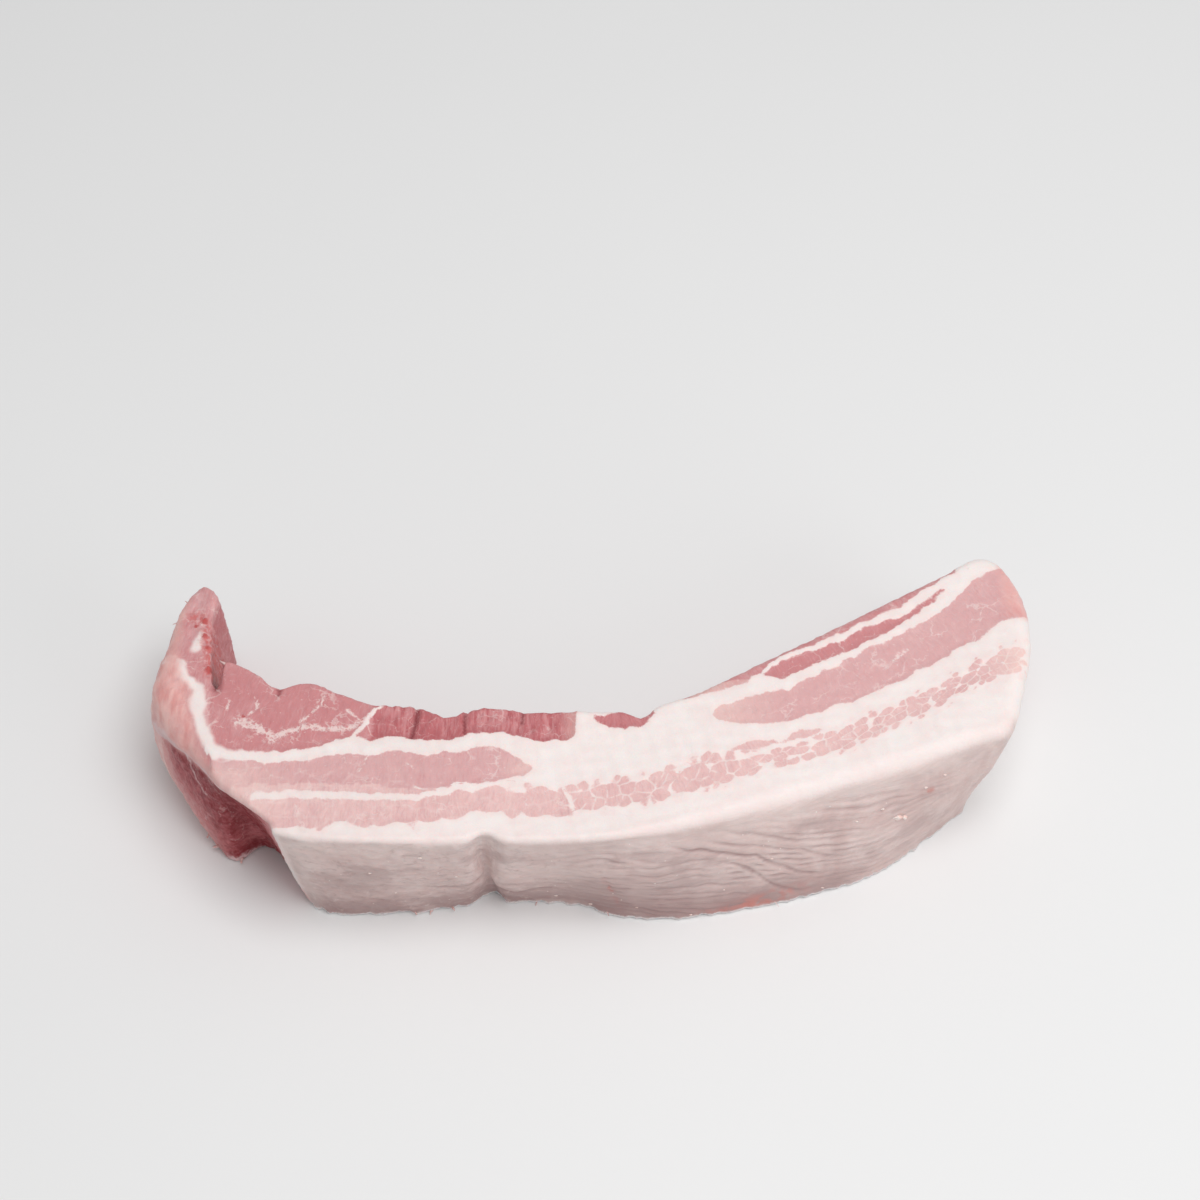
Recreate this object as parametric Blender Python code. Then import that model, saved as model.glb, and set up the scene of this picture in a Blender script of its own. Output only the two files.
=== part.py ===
"""Pork belly slab: one thick strip cut across a side of belly, standing on its lower cut face.

The rind is the long wall on the -Y side, the rib side is the wall on the +Y side, and both cut faces are
level. The strip bows into a shallow smile. At the loin end (-X) the meat runs on past the rind as a lobe
that slumps to the floor, and at the teat end (+X) the fat is rounded off.
The shape is a stack of outlines: the upper and the lower cut face each have an outline through the same
stations, and every station gives a wall between the two, rounded over at its top and its foot.
Metres, +Z up. The origin is the centre of the bounding box's lower face.
"""

import math

import bmesh
import bpy
import numpy as np
from mathutils.geometry import delaunay_2d_cdt

MM = 0.001
HEIGHT = 48.0  # from the lower cut face to the upper one: how wide the strip was cut
FACET = 4.2  # the length of a facet round the outline and across the cut faces
WALL_BANDS = 7  # facets from the top of a wall to its foot
ROUND_BANDS = 3  # facets round the shoulder at the top of a wall
FOOT_ROUND = 2.0  # the radius where a wall meets the lower cut face
RIM_CLEARANCE = 0.6  # inner points keep this share of a facet away from the rim of a cut face
SWELL = 1.1  # how far the upper cut face rises and falls
LOBE_DROP = 4.5  # how much lower the far tip of the lobe lies
MEAT_COLOUR = (0.78, 0.50, 0.50, 1.0)

# Each station: upper x, y, shift of the foot of the wall in x, y, radius of the shoulder, bulge of the wall.
# The stations run counterclockwise, seen from above, in millimetres.
RIND_SIDE = [
    (-100.5, -114.8, 6.4, 2.2, 2.0, 0.5),
    (-72.0, -117.8, 0.0, 2.4, 2.2, 1.5),
    (-17.0, -117.0, 0.0, 6.6, 2.8, 1.5),
    (8.0, -115.2, 1.0, -1.6, 3.0, 1.2),
    (35.0, -109.6, 2.0, -5.8, 5.5, 1.2),
    (88.0, -93.4, -1.0, -9.0, 7.5, 1.6),
    (124.0, -79.8, -7.6, -0.6, 6.5, 1.4),
]
TEAT_END = [
    (134.6, -74.0, -11.2, 1.2, 5.0, 0.8),
    (141.8, -52.0, -11.0, 0.5, 5.5, 1.0),
    (145.4, -34.0, -10.6, 0.0, 5.5, 1.0),
    (143.6, -14.0, -9.0, 0.5, 4.5, 1.0),
    (132.4, 0.4, -8.4, -3.4, 4.2, 0.5),
]
RIB_SIDE = [
    (112.0, -10.8, -5.0, -2.6, 3.0, 0.6),
    (62.0, -40.8, -2.0, 1.2, 3.0, 1.0),
    (16.0, -63.8, 0.0, 1.8, 2.5, 0.8),
    (-28.0, -63.6, 0.0, 1.4, 2.8, 1.2),
    (-76.0, -61.0, 0.0, 1.6, 2.6, 0.8),
    (-96.0, -53.6, 0.0, 0.0, 2.5, 1.0),
    (-114.0, -49.4, 2.0, 0.4, 2.0, 0.8),
    (-125.0, -45.6, 2.0, 0.0, 1.2, 0.0),
]
LOBE = [
    (-126.8, -56.0, 2.0, 2.0, 1.2, 0.0),
    (-129.4, -45.0, 2.2, 0.6, 1.6, 0.3),
    (-131.0, -26.0, 2.4, 0.0, 2.8, 0.8),
    (-130.0, -15.6, 2.0, 0.0, 2.6, 0.6),
    (-136.4, -9.8, 2.0, 0.4, 2.8, 0.5),
    (-143.0, -20.4, 2.2, 1.4, 3.8, 1.2),
    (-146.4, -36.0, 2.6, 1.0, 7.0, 2.5),
    (-149.6, -55.0, 5.4, -5.0, 9.0, 3.4),
    (-142.6, -71.0, 7.6, -8.4, 8.0, 3.0),
    (-133.4, -81.6, 6.2, -10.6, 6.0, 2.4),
]
LOIN_CUT = [
    (-127.0, -89.6, 6.4, -5.8, 4.0, 1.5),
    (-121.4, -96.4, 9.4, 6.6, 3.0, -1.0),
    (-107.0, -108.0, 4.6, 7.4, 2.0, 0.2),
]
STATIONS = np.array(RIND_SIDE + TEAT_END + RIB_SIDE + LOBE + LOIN_CUT)
# Grooves down the walls: side (-1 rind, +1 ribs), x, depth, half width.
GROOVES = [
    (-1, -36.5, 3.6, 4.2),
    (1, 13.4, 3.2, 3.6),
    (1, -23.0, 2.2, 6.0),
    (1, -50.0, 4.8, 7.0),
    (1, -74.0, 1.6, 5.0),
    (1, -105.5, 5.6, 6.0),
]
SPLINE_STEPS = 24  # points per station on the smooth line through the stations


def smooth_loop(stations):
    """A closed Catmull-Rom line through the stations, as a dense list of rows."""
    share = np.arange(SPLINE_STEPS)[:, None] / SPLINE_STEPS
    before, after = np.roll(stations, 1, 0), np.roll(stations, -1, 0)
    beyond = np.roll(stations, -2, 0)
    rows = []
    for a, b, c, d in zip(before, stations, after, beyond):
        turn = (2 * a - 5 * b + 4 * c - d) * share**2 + (3 * b - a - 3 * c + d) * share**3
        rows.append(b + 0.5 * ((c - a) * share + turn))
    return np.concatenate(rows)


def grooved(rows):
    """The rows with each groove pressed into the wall on its side."""
    out = outward(rows)
    rows = rows.copy()
    for side, place, depth, half_width in GROOVES:
        facing = np.clip(side * out[:, 1], 0.0, 1.0)
        press = depth * facing * np.exp(-(((rows[:, 0] - place) / half_width) ** 2))
        rows[:, :2] -= out * press[:, None]
        rows[:, 4] *= 1 - 0.3 * press / depth
    return rows


def even_steps(rows, step):
    """The closed line again, with rows about one step apart along the middle of the wall."""
    middle = rows[:, :2] + rows[:, 2:4] / 2
    gaps = np.linalg.norm(np.roll(middle, -1, 0) - middle, axis=1)
    along = np.concatenate([[0.0], np.cumsum(gaps)])
    closed = np.vstack([rows, rows[:1]])
    places = np.linspace(0.0, along[-1], round(along[-1] / step), endpoint=False)
    columns = [np.interp(places, along, column) for column in closed.T]
    return np.array(columns).T


def outward(rows):
    """The outward direction in plan at each row."""
    ahead = np.roll(rows, -1, 0) - np.roll(rows, 1, 0)
    run = ahead[:, :2] + ahead[:, 2:4] / 2
    normal = np.array([run[:, 1], -run[:, 0]]).T
    return normal / np.linalg.norm(normal, axis=1, keepdims=True)


def top_height(x, y):
    """The height of the upper cut face: it swells gently and falls away towards the lobe's tip."""
    swell = np.sin(x / 31.0 + 0.8) * np.cos(y / 27.0 + 0.4) + 0.5 * np.sin(x / 13.0 - y / 17.0)
    lobe = np.clip((-122.0 - x) / 14.0, 0.0, 1.0) * np.clip((y + 48.0) / 36.0, 0.0, 1.0)
    return HEIGHT + SWELL * swell / 1.5 - LOBE_DROP * lobe


def wall_rings(rows):
    """The rings of the wall, from the rim of the upper cut face down to the rim of the lower one."""
    upper, radius, bulge = rows[:, :2], rows[:, 4:5], rows[:, 5:6]
    lower = upper + rows[:, 2:4]
    out = outward(rows)
    rim_height = top_height(*(upper - out * radius).T)[:, None]
    rings = []
    for turn in np.linspace(0.0, math.pi / 2, ROUND_BANDS, endpoint=False):
        plan = upper - out * radius * (1 - math.sin(turn))
        rings.append(np.hstack([plan, rim_height - radius * (1 - math.cos(turn))]))
    for down in np.linspace(0.0, 1.0, WALL_BANDS + 1):
        plan = upper + (lower - upper) * down + out * bulge * 4 * down * (1 - down)
        height = (rim_height - radius) * (1 - down) + np.minimum(radius, FOOT_ROUND) * down
        rings.append(np.hstack([plan, height]))
    foot = lower - out * np.minimum(radius, FOOT_ROUND)
    rings.append(np.hstack([foot, np.zeros_like(rim_height)]))
    return rings


def points_inside(rim):
    """A staggered grid of points inside the rim of a cut face, clear of the rim itself."""
    low, high = rim.min(0), rim.max(0)
    rows = np.arange(low[1], high[1], FACET * math.sqrt(3) / 2)
    columns = np.arange(low[0], high[0], FACET)
    grid = [(x + FACET / 2 * (n % 2), y) for n, y in enumerate(rows) for x in columns]
    ends = np.roll(rim, -1, 0)
    kept = []
    for x, y in grid:
        crossing = (rim[:, 1] > y) != (ends[:, 1] > y)
        edge = rim[crossing], ends[crossing]
        at = edge[0][:, 0] + (y - edge[0][:, 1]) / (edge[1][:, 1] - edge[0][:, 1]) * (
            edge[1][:, 0] - edge[0][:, 0]
        )
        clear = np.hypot(*(rim - (x, y)).T).min() > RIM_CLEARANCE * FACET
        if clear and (at > x).sum() % 2:
            kept.append((x, y))
    return kept


def cover(bm, rim_verts, height_at, facing_up):
    """Fills a cut face with even triangles between its rim and a grid of inner points."""
    rim = np.array([vert.co.xy for vert in rim_verts])
    inner = points_inside(rim)
    places = [tuple(p) for p in rim] + inner
    loop = [(n, (n + 1) % len(rim)) for n in range(len(rim))]
    _, _, faces, origins, _, _ = delaunay_2d_cdt(places, loop, [], 1, 1e-6)
    verts = list(rim_verts) + [bm.verts.new((x, y, height_at(x, y))) for x, y in inner]
    for face in faces:
        corners = [verts[origins[n][0]] for n in face]
        bm.faces.new(corners if facing_up else corners[::-1])


def build_slab():
    """The whole slab as one closed mesh, with its origin under the middle of its bounding box."""
    rows = even_steps(grooved(smooth_loop(STATIONS)), FACET)
    rings = wall_rings(rows)
    bm = bmesh.new()
    loops = [[bm.verts.new(p) for p in ring] for ring in rings]
    count = len(rows)
    for upper, lower in zip(loops, loops[1:]):
        for n in range(count):
            ahead = (n + 1) % count
            bm.faces.new((upper[n], lower[n], lower[ahead], upper[ahead]))
    cover(bm, loops[0], top_height, facing_up=True)
    cover(bm, loops[-1], lambda x, y: 0.0, facing_up=False)
    bmesh.ops.triangulate(bm, faces=bm.faces)
    places = np.array([vert.co for vert in bm.verts])
    middle = (places.min(0) + places.max(0)) / 2
    bmesh.ops.translate(bm, verts=bm.verts, vec=(-middle[0], -middle[1], 0.0))
    bmesh.ops.scale(bm, verts=bm.verts, vec=(MM, MM, MM))
    mesh = bpy.data.meshes.new("pork_belly_slab")
    bm.to_mesh(mesh)
    bm.free()
    return mesh


def meat_material():
    material = bpy.data.materials.new("streaky_pork")
    material.use_nodes = True
    shader = material.node_tree.nodes["Principled BSDF"]
    shader.inputs["Base Color"].default_value = MEAT_COLOUR
    shader.inputs["Roughness"].default_value = 0.45
    shader.inputs["Metallic"].default_value = 0.0
    return material


def main():
    for thing in list(bpy.data.objects):
        bpy.data.objects.remove(thing)
    mesh = build_slab()
    mesh.shade_smooth()
    mesh.materials.append(meat_material())
    slab = bpy.data.objects.new("pork_belly_slab", mesh)
    bpy.context.scene.collection.objects.link(slab)


main()
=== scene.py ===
"""Looks of the pork belly slab: a fine mesh with layers of fat and lean, the rind's folds and the grain.

The mesh follows the outlines of the CAD solid at about a millimetre, in the same drawing coordinates, and is
set down in the middle of the solid's box. Each vertex carries what it is made of: how deep inside a lean
layer it lies, how dark that meat is, how strongly it breaks into lobules, how much membrane covers it, and
The material turns those into crisp edges, septa, fibres and moisture; it also paints glints on the lean and
shade into the clefts, the rind's folds and the rind's foot.
Crumbs of fat on the rind and short shreds of membrane are two small pieces of their own.
Lengths are in millimetres until the meshes are scaled to metres.
"""

import math

import bmesh
import bpy
import numpy as np
from mathutils.geometry import delaunay_2d_cdt
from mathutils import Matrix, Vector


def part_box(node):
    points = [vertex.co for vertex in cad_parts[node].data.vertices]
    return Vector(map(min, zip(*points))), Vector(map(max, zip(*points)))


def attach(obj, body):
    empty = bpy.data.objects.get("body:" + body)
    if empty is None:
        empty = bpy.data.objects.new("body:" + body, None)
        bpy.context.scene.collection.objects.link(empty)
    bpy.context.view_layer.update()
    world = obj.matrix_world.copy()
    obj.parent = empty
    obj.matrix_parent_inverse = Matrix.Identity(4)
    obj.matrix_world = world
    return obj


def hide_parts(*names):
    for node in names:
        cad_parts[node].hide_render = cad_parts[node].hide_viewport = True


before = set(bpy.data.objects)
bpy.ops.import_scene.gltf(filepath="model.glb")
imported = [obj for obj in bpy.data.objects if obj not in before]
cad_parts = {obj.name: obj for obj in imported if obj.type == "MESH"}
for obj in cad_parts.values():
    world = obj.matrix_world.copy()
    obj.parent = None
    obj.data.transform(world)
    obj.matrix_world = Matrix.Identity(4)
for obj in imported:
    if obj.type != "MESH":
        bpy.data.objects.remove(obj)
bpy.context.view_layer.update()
NODE = "pork_belly_slab"
MM = 0.001

# ------------------------------ the outline, as in the CAD part

HEIGHT = 48.0
FOOT_ROUND = 2.0
SWELL = 1.1
LOBE_DROP = 4.5
# Each station: upper x, y, shift of the foot of the wall in x, y, radius of the shoulder, bulge of the wall.
RIND_SIDE = [
    (-100.5, -114.8, 6.4, 2.2, 2.0, 0.5),
    (-72.0, -117.8, 0.0, 2.4, 2.2, 1.5),
    (-17.0, -117.0, 0.0, 6.6, 2.8, 1.5),
    (8.0, -115.2, 1.0, -1.6, 3.0, 1.2),
    (35.0, -109.6, 2.0, -5.8, 5.5, 1.2),
    (88.0, -93.4, -1.0, -9.0, 7.5, 1.6),
    (124.0, -79.8, -7.6, -0.6, 6.5, 1.4),
]
TEAT_END = [
    (134.6, -74.0, -11.2, 1.2, 5.0, 0.8),
    (141.8, -52.0, -11.0, 0.5, 5.5, 1.0),
    (145.4, -34.0, -10.6, 0.0, 5.5, 1.0),
    (143.6, -14.0, -9.0, 0.5, 4.5, 1.0),
    (132.4, 0.4, -8.4, -3.4, 4.2, 0.5),
]
RIB_SIDE = [
    (112.0, -10.8, -5.0, -2.6, 3.0, 0.6),
    (62.0, -40.8, -2.0, 1.2, 3.0, 1.0),
    (16.0, -63.8, 0.0, 1.8, 2.5, 0.8),
    (-28.0, -63.6, 0.0, 1.4, 2.8, 1.2),
    (-76.0, -61.0, 0.0, 1.6, 2.6, 0.8),
    (-96.0, -53.6, 0.0, 0.0, 2.5, 1.0),
    (-114.0, -49.4, 2.0, 0.4, 2.0, 0.8),
    (-125.0, -45.6, 2.0, 0.0, 1.2, 0.0),
]
LOBE = [
    (-126.8, -56.0, 2.0, 2.0, 1.2, 0.0),
    (-129.4, -45.0, 2.2, 0.6, 1.6, 0.3),
    (-131.0, -26.0, 2.4, 0.0, 2.8, 0.8),
    (-130.0, -15.6, 2.0, 0.0, 2.6, 0.6),
    (-136.4, -9.8, 2.0, 0.4, 2.8, 0.5),
    (-143.0, -20.4, 2.2, 1.4, 3.8, 1.2),
    (-146.4, -36.0, 2.6, 1.0, 7.0, 2.5),
    (-149.6, -55.0, 5.4, -5.0, 9.0, 3.4),
    (-142.6, -71.0, 7.6, -8.4, 8.0, 3.0),
    (-133.4, -81.6, 6.2, -10.6, 6.0, 2.4),
]
LOIN_CUT = [
    (-127.0, -89.6, 6.4, -5.8, 4.0, 1.5),
    (-121.4, -96.4, 9.4, 6.6, 3.0, -1.0),
    (-107.0, -108.0, 4.6, 7.4, 2.0, 0.2),
]
STATIONS = np.array(RIND_SIDE + TEAT_END + RIB_SIDE + LOBE + LOIN_CUT)
# Grooves down the walls: side (-1 rind, +1 ribs), x, depth, half width.
GROOVES = [
    (-1, -36.5, 3.6, 4.2),
    (1, 13.4, 3.2, 3.6),
    (1, -23.0, 2.2, 6.0),
    (1, -50.0, 4.8, 7.0),
    (1, -74.0, 1.6, 5.0),
    (1, -105.5, 5.6, 6.0),
]
RIND_START, RIND_END = (-102.0, -113.6), (136.4, -69.0)  # where the rind starts and ends along the rim
SPLINE_STEPS = 60  # points per station on the smooth line through the stations
STEP_ROUND = 1.25  # spacing of the mesh along the walls
STEP_DOWN = 0.65  # spacing of the mesh down the walls
STEP_TOP = 0.9  # spacing across the upper cut face
STEP_UNDER = 1.7  # spacing across the lower one
RIM_CLEARANCE = 0.6  # inner points keep this share of a step away from the rim of a cut face
ARC_BANDS = 7  # rings round the shoulder
FOOT_BANDS = 3  # rings round the foot
WALL_BANDS = round(HEIGHT / STEP_DOWN)


def unit(values):
    """The values kept between 0 and 1."""
    return np.clip(values, 0.0, 1.0)


def bell(distance, half_width):
    """A smooth bell: 1 at no distance, fading out over about the half width."""
    return np.exp(-((distance / half_width) ** 2))


def smooth_loop(stations):
    """A closed Catmull-Rom line through the stations, as a dense list of rows."""
    share = np.arange(SPLINE_STEPS)[:, None] / SPLINE_STEPS
    before, after = np.roll(stations, 1, 0), np.roll(stations, -1, 0)
    beyond = np.roll(stations, -2, 0)
    rows = []
    for a, b, c, d in zip(before, stations, after, beyond):
        turn = (2 * a - 5 * b + 4 * c - d) * share**2 + (3 * b - a - 3 * c + d) * share**3
        rows.append(b + 0.5 * ((c - a) * share + turn))
    return np.concatenate(rows)


def outward(rows):
    """The outward direction in plan at each row."""
    ahead = np.roll(rows, -1, 0) - np.roll(rows, 1, 0)
    run = ahead[:, :2] + ahead[:, 2:4] / 2
    normal = np.array([run[:, 1], -run[:, 0]]).T
    return normal / np.linalg.norm(normal, axis=1, keepdims=True)


def grooved(rows):
    """The rows with each groove pressed into the wall on its side."""
    out = outward(rows)
    rows = rows.copy()
    for side, place, depth, half_width in GROOVES:
        press = depth * unit(side * out[:, 1]) * bell(rows[:, 0] - place, half_width)
        rows[:, :2] -= out * press[:, None]
        rows[:, 4] *= 1 - 0.3 * press / depth
    return rows


def even_steps(rows, step):
    """The closed line again, with rows about one step apart along the middle of the wall."""
    middle = rows[:, :2] + rows[:, 2:4] / 2
    gaps = np.linalg.norm(np.roll(middle, -1, 0) - middle, axis=1)
    along = np.concatenate([[0.0], np.cumsum(gaps)])
    closed = np.vstack([rows, rows[:1]])
    places = np.linspace(0.0, along[-1], round(along[-1] / step), endpoint=False)
    columns = [np.interp(places, along, column) for column in closed.T]
    return np.array(columns).T


def top_height(x, y):
    """The height of the upper cut face: it swells gently and falls away towards the lobe's tip."""
    swell = np.sin(x / 31.0 + 0.8) * np.cos(y / 27.0 + 0.4) + 0.5 * np.sin(x / 13.0 - y / 17.0)
    lobe = unit((-122.0 - x) / 14.0) * unit((y + 48.0) / 36.0)
    return HEIGHT + SWELL * swell / 1.5 - LOBE_DROP * lobe


# ------------------------------ what lies where in the cut face

# Each lean layer: x, y of its rind side, y of its rib side. OPEN means that it runs out over the wall.
OPEN = 30.0
STREAKY = [  # the layer next to the fat under the rind, all lobules
    (-128, -114, -88), (-112, -113.6, -88), (-104, -113, -90), (-92, -111.6, -91), (-80, -111.2, -92),
    (-70, -111.7, -95), (-57, -110.4, -97), (-46, -108.3, -98), (-38, -106.2, -97.6), (-31, -106.2, -96.5),
    (-20, -107.3, -96.9), (-10, -107.2, -96.4), (0, -104.3, -94.3), (12, -102.2, -93.0), (20, -100.6, -90.3),
    (28, -98.4, -86.0), (36, -95.6, -83.3), (42, -92.9, -84.4), (50, -90.4, -84.4), (58, -87.6, -82.4),
    (66, -85.8, -80.0), (72, -84.2, -77.4), (80, -81.0, -73.2), (90, -75.6, -68.0), (100, -70.6, -62.6),
    (110, -65.0, -57.4), (118, -59.4, -52.2), (126, -54.8, -46.4), (133, -52.2, -42.4), (141, -50, -38.5),
]
STREAKY_ISLANDS = [(43, -82.6, -81.6), (49, -81.8, -78.4), (55, -80.2, -77.8), (58.2, -79, -78.4)]
STREAKY_ISLANDS_2 = [(59, -79.2, -78.4), (65, -77.6, -74.4), (70, -76.0, -73.2), (73, -74.6, -74.0)]
LOIN_MIDDLE = [  # the second layer, at the loin end
    (-130, -112, -88), (-123, -106, -85.6), (-115, -104, -87.2), (-103, -100, -87.2), (-94, -99, -86),
    (-84.6, -98.6, -83.4), (-75, -97.7, -84.5), (-67, -98.8, -82.4), (-56, -98.5, -84.6),
    (-48, -96.3, -83.6), (-41, -95, -81.8), (-35, -94.8, -80.8), (-30, -93, -83), (-25, -92, -86),
    (-21.6, -89.6, -88.6),
]
TEAT_MIDDLE = [  # the second layer, at the teat end
    (35.5, -68.6, -67.8), (41, -70.4, -64), (46.7, -71.4, -62), (51, -71.4, -59.6), (56, -71.4, -58.8),
    (62, -70.2, -58.0), (66, -68.9, -55), (72, -66.7, -52), (80, -63.4, -46.9), (90, -59.3, -40.7),
    (100, -53.6, -35.2), (110, -47, -28.6), (120, -40.7, -20), (127, -36.2, -12), (133.6, -30, -6.6),
    (148, -24, -3),
]
RIB_MUSCLE = [  # the big muscle at the loin end
    (-132.4, -60, OPEN), (-131.4, -64, OPEN), (-129.4, -72.5, OPEN), (-126, -79, OPEN), (-121, -82, OPEN),
    (-115, -82.8, OPEN), (-103, -82.9, OPEN), (-94, -81.4, OPEN), (-88, -79, OPEN), (-84, -77.6, OPEN),
    (-79, -77.4, OPEN), (-76, -78, OPEN), (-73, -78, OPEN),
]
RIB_STRIP = [  # the dark inner muscle
    (-76, -78.4, OPEN), (-68, -76.9, OPEN), (-58, -78.3, OPEN), (-50, -78.5, OPEN), (-43, -76.3, OPEN),
    (-35, -75, OPEN), (-28, -76.7, OPEN), (-18, -78.3, OPEN), (-12, -78, OPEN), (-9.4, -76.4, OPEN),
    (-8.0, -73, OPEN), (-7.0, -67, OPEN),
]
RIB_PATCH = [(-1.5, -69.6, -68.4), (2, -72.4, -67.4), (9, -73.2, -66), (14, -71.6, OPEN), (17.6, -66.8, OPEN)]
TEAT_INNER = [  # the thin dark layer at the teat end
    (54, -52.4, -51.8), (60, -53.8, -46.9), (66.7, -50.2, -43.3), (73, -47, -41.4), (80, -43.6, -38.2),
    (90, -37.8, -31.4), (100, -31.3, -28.0), (108, -25.5, -22.5), (117, -15.4, -14.6),
]
TEAT_RIM = [  # the film of meat on the rib side of the teat end
    (22, -60.6, OPEN), (28, -61.4, OPEN), (40, -58, OPEN), (49, -54.6, OPEN), (54, -49.8, OPEN),
    (60, -44.4, OPEN), (77, -36.4, OPEN), (90, -29.2, OPEN), (106, -19.4, OPEN), (121, -7, OPEN),
]
# Layer, darkness of the meat (0 pale, 1 dark red), how strongly it breaks into lobules.
LAYERS = [
    (STREAKY, 0.21, 1.0),
    (STREAKY_ISLANDS, 0.21, 0.0),
    (STREAKY_ISLANDS_2, 0.21, 0.0),
    (LOIN_MIDDLE, 0.46, 0.0),
    (TEAT_MIDDLE, 0.43, 0.0),
    (RIB_MUSCLE, 0.74, 0.0),
    (RIB_STRIP, 1.0, 0.0),
    (RIB_PATCH, 0.92, 0.0),
    (TEAT_INNER, 0.78, 0.0),
    (TEAT_RIM, 0.66, 0.0),
]
# Lines of fat: half width, how far the width tapers at the far end, and the points they run through.
FAT_LINES = [
    (2.1, 0.2, [(-146, -44), (-140.5, -46.4), (-137.5, -53), (-133, -57), (-132.2, -66), (-130.4, -73),
                (-127, -80), (-122, -84), (-115, -85), (-103, -85), (-94, -83.4), (-86, -80.4),
                (-75, -81), (-66, -79.2)]),
    (1.5, 0.5, [(-111.5, -100.6), (-104, -99.4), (-91, -99.6), (-80, -100.4), (-67, -101), (-57, -100.8),
                (-50, -98.6), (-42, -96.9), (-31, -95.2), (-24, -94.6)]),
    (0.8, 0.5, [(-81.6, -78.4), (-78, -73), (-75, -68), (-72, -63.6), (-70.6, -58)]),
    (0.7, 0.3, [(-11.6, -95), (-10, -99.5), (-8.6, -105), (-8.2, -108.5)]),
    (0.7, 0.2, [(-147.6, -50.5), (-148, -56), (-145.4, -63), (-141.4, -71.4), (-136.6, -79),
                (-130.8, -86.2)]),
    (1.8, 0.45, [(-135.5, -40), (-135.3, -36.4), (-134.4, -33)]),
]
# Where threads of fat gather in the big muscle: spread, points.
MARBLING = [
    (2.6, [(-118.4, -71.0), (-113, -72.6), (-110, -75), (-107, -77.4)]),
    (1.5, [(-107, -77.4), (-101, -74.6), (-96, -72.6), (-90, -73.6), (-82, -73.4), (-77, -70)]),
    (0.8, [(-98, -71), (-95, -67.6), (-92, -64), (-90.6, -60.6)]),
    (0.8, [(-113.4, -61), (-112.4, -64.6), (-115, -68)]),
    (0.7, [(-122, -62), (-122.6, -66)]),
    (0.7, [(-83, -66), (-79, -69.6), (-77, -72)]),
    (0.5, [(-74, -82.6), (-76.6, -88), (-78, -91)]),
    (0.4, [(-63.6, -84.8), (-62, -88), (-59, -91)]),
    (0.8, [(99, -43), (103, -41), (97, -46)]),
]
# Clefts between the bundles of the inner muscle, and the slit, sunk into the relief and darkened with painted
# shade: half width, points.
CLEFTS = [
    (0.8, [(-59.6, -62), (-60.4, -70), (-61.4, -77)]),
    (0.5, [(-43.6, -63), (-44.4, -70), (-44.2, -75.6)]),
    (0.5, [(-25, -64), (-25.6, -71)]),
    (1.5, [(-127.4, -44), (-127.0, -50), (-126.8, -57)]),
    (0.6, [(-104.6, -55), (-106.2, -60)]),
]
# The folds of the rind: how deep, how wide, and the x, z they run through.
FOLDS = [
    (1.0, 0.9, [(17, 41), (30, 35), (43, 30), (51, 26), (57, 21), (66, 14), (73, 11), (82, 10)]),
    (1.0, 0.9, [(38, 28.4), (45, 24), (52, 18), (58, 10), (64, 6), (73, 4)]),
    (0.75, 0.9, [(30, 39), (46, 32.6), (60, 27), (71, 21), (86, 17)]),
    (0.7, 1.0, [(27, 43.6), (43, 39), (57, 33), (71, 27), (90, 24)]),
    (0.6, 0.8, [(0, 32.6), (17, 31), (30, 30.4), (41, 27)]),
    (0.6, 0.8, [(3, 29), (17, 27), (27, 27), (39, 23)]),
    (0.6, 0.8, [(6, 24), (20, 23), (30, 23), (41, 19)]),
    (0.75, 0.8, [(12, 19.6), (28, 18.4), (42, 16), (50, 13)]),
    (0.6, 0.7, [(10, 16), (28, 15), (48, 10.6)]),
    (0.65, 0.8, [(8, 12.6), (28, 12), (45, 9), (54, 6.4)]),
    (0.5, 0.7, [(12, 9), (30, 8.4), (44, 5.6)]),
    (0.45, 0.8, [(6, 37), (20, 36.4), (34, 33.4)]),
    (0.5, 1.0, [(60, 38), (76, 32), (94, 29)]),
    (0.5, 0.9, [(70, 16), (84, 13), (98, 12)]),
    (0.45, 0.8, [(66, 9), (82, 7.4), (100, 7.6)]),
    (0.5, 0.9, [(97, 18), (108, 25), (116, 28.4), (122, 33)]),
    (0.4, 0.8, [(100, 37), (110, 33), (120, 32)]),
    (0.5, 0.8, [(-97, 21), (-81, 25), (-70, 24), (-55, 20.4)]),
    (0.9, 0.8, [(-60, 21), (-48, 19.4), (-40, 20.6), (-35, 24)]),
    (0.6, 0.8, [(-76, 13.4), (-66, 8.6), (-57, 4)]),
    (0.9, 1.2, [(-36, 22), (-35, 14), (-29, 11.6), (-18, 12.6), (-8, 11.4)]),
    (0.6, 0.9, [(-37, 47), (-32.6, 45), (-28.4, 40), (-27, 35)]),
    (0.3, 0.8, [(-94, 34), (-76, 37), (-58, 33)]),
    (0.3, 0.7, [(-24, 30), (-12, 31), (0, 28)]),
    (0.3, 0.7, [(-26, 22), (-12, 21), (2, 22)]),
]
# Spots of blood: x, y, size.
BLOOD = [(-136.4, -29.6, 1.0), (-132.8, -34.4, 1.3), (-133.6, -27.6, 1.6), (-129.8, -49.4, 2.0),
         (-116.9, -68.7, 0.8), (-131.4, -39.6, 1.3)]
# The torn, raw edge of the lobe above the slit.
TORN = [(-137.5, -25), (-134.5, -27), (-132.2, -32), (-131.4, -38), (-130.2, -44), (-129, -50)]
# Silver skin on the end wall: the y, z it runs through.
SILVER_LINE = [(-58, 33), (-70, 39), (-80, 43), (-88, 45), (-96, 46)]
SILVER_BRANCH = [(-79, 43), (-80, 38), (-82, 35), (-86, 33)]
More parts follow.
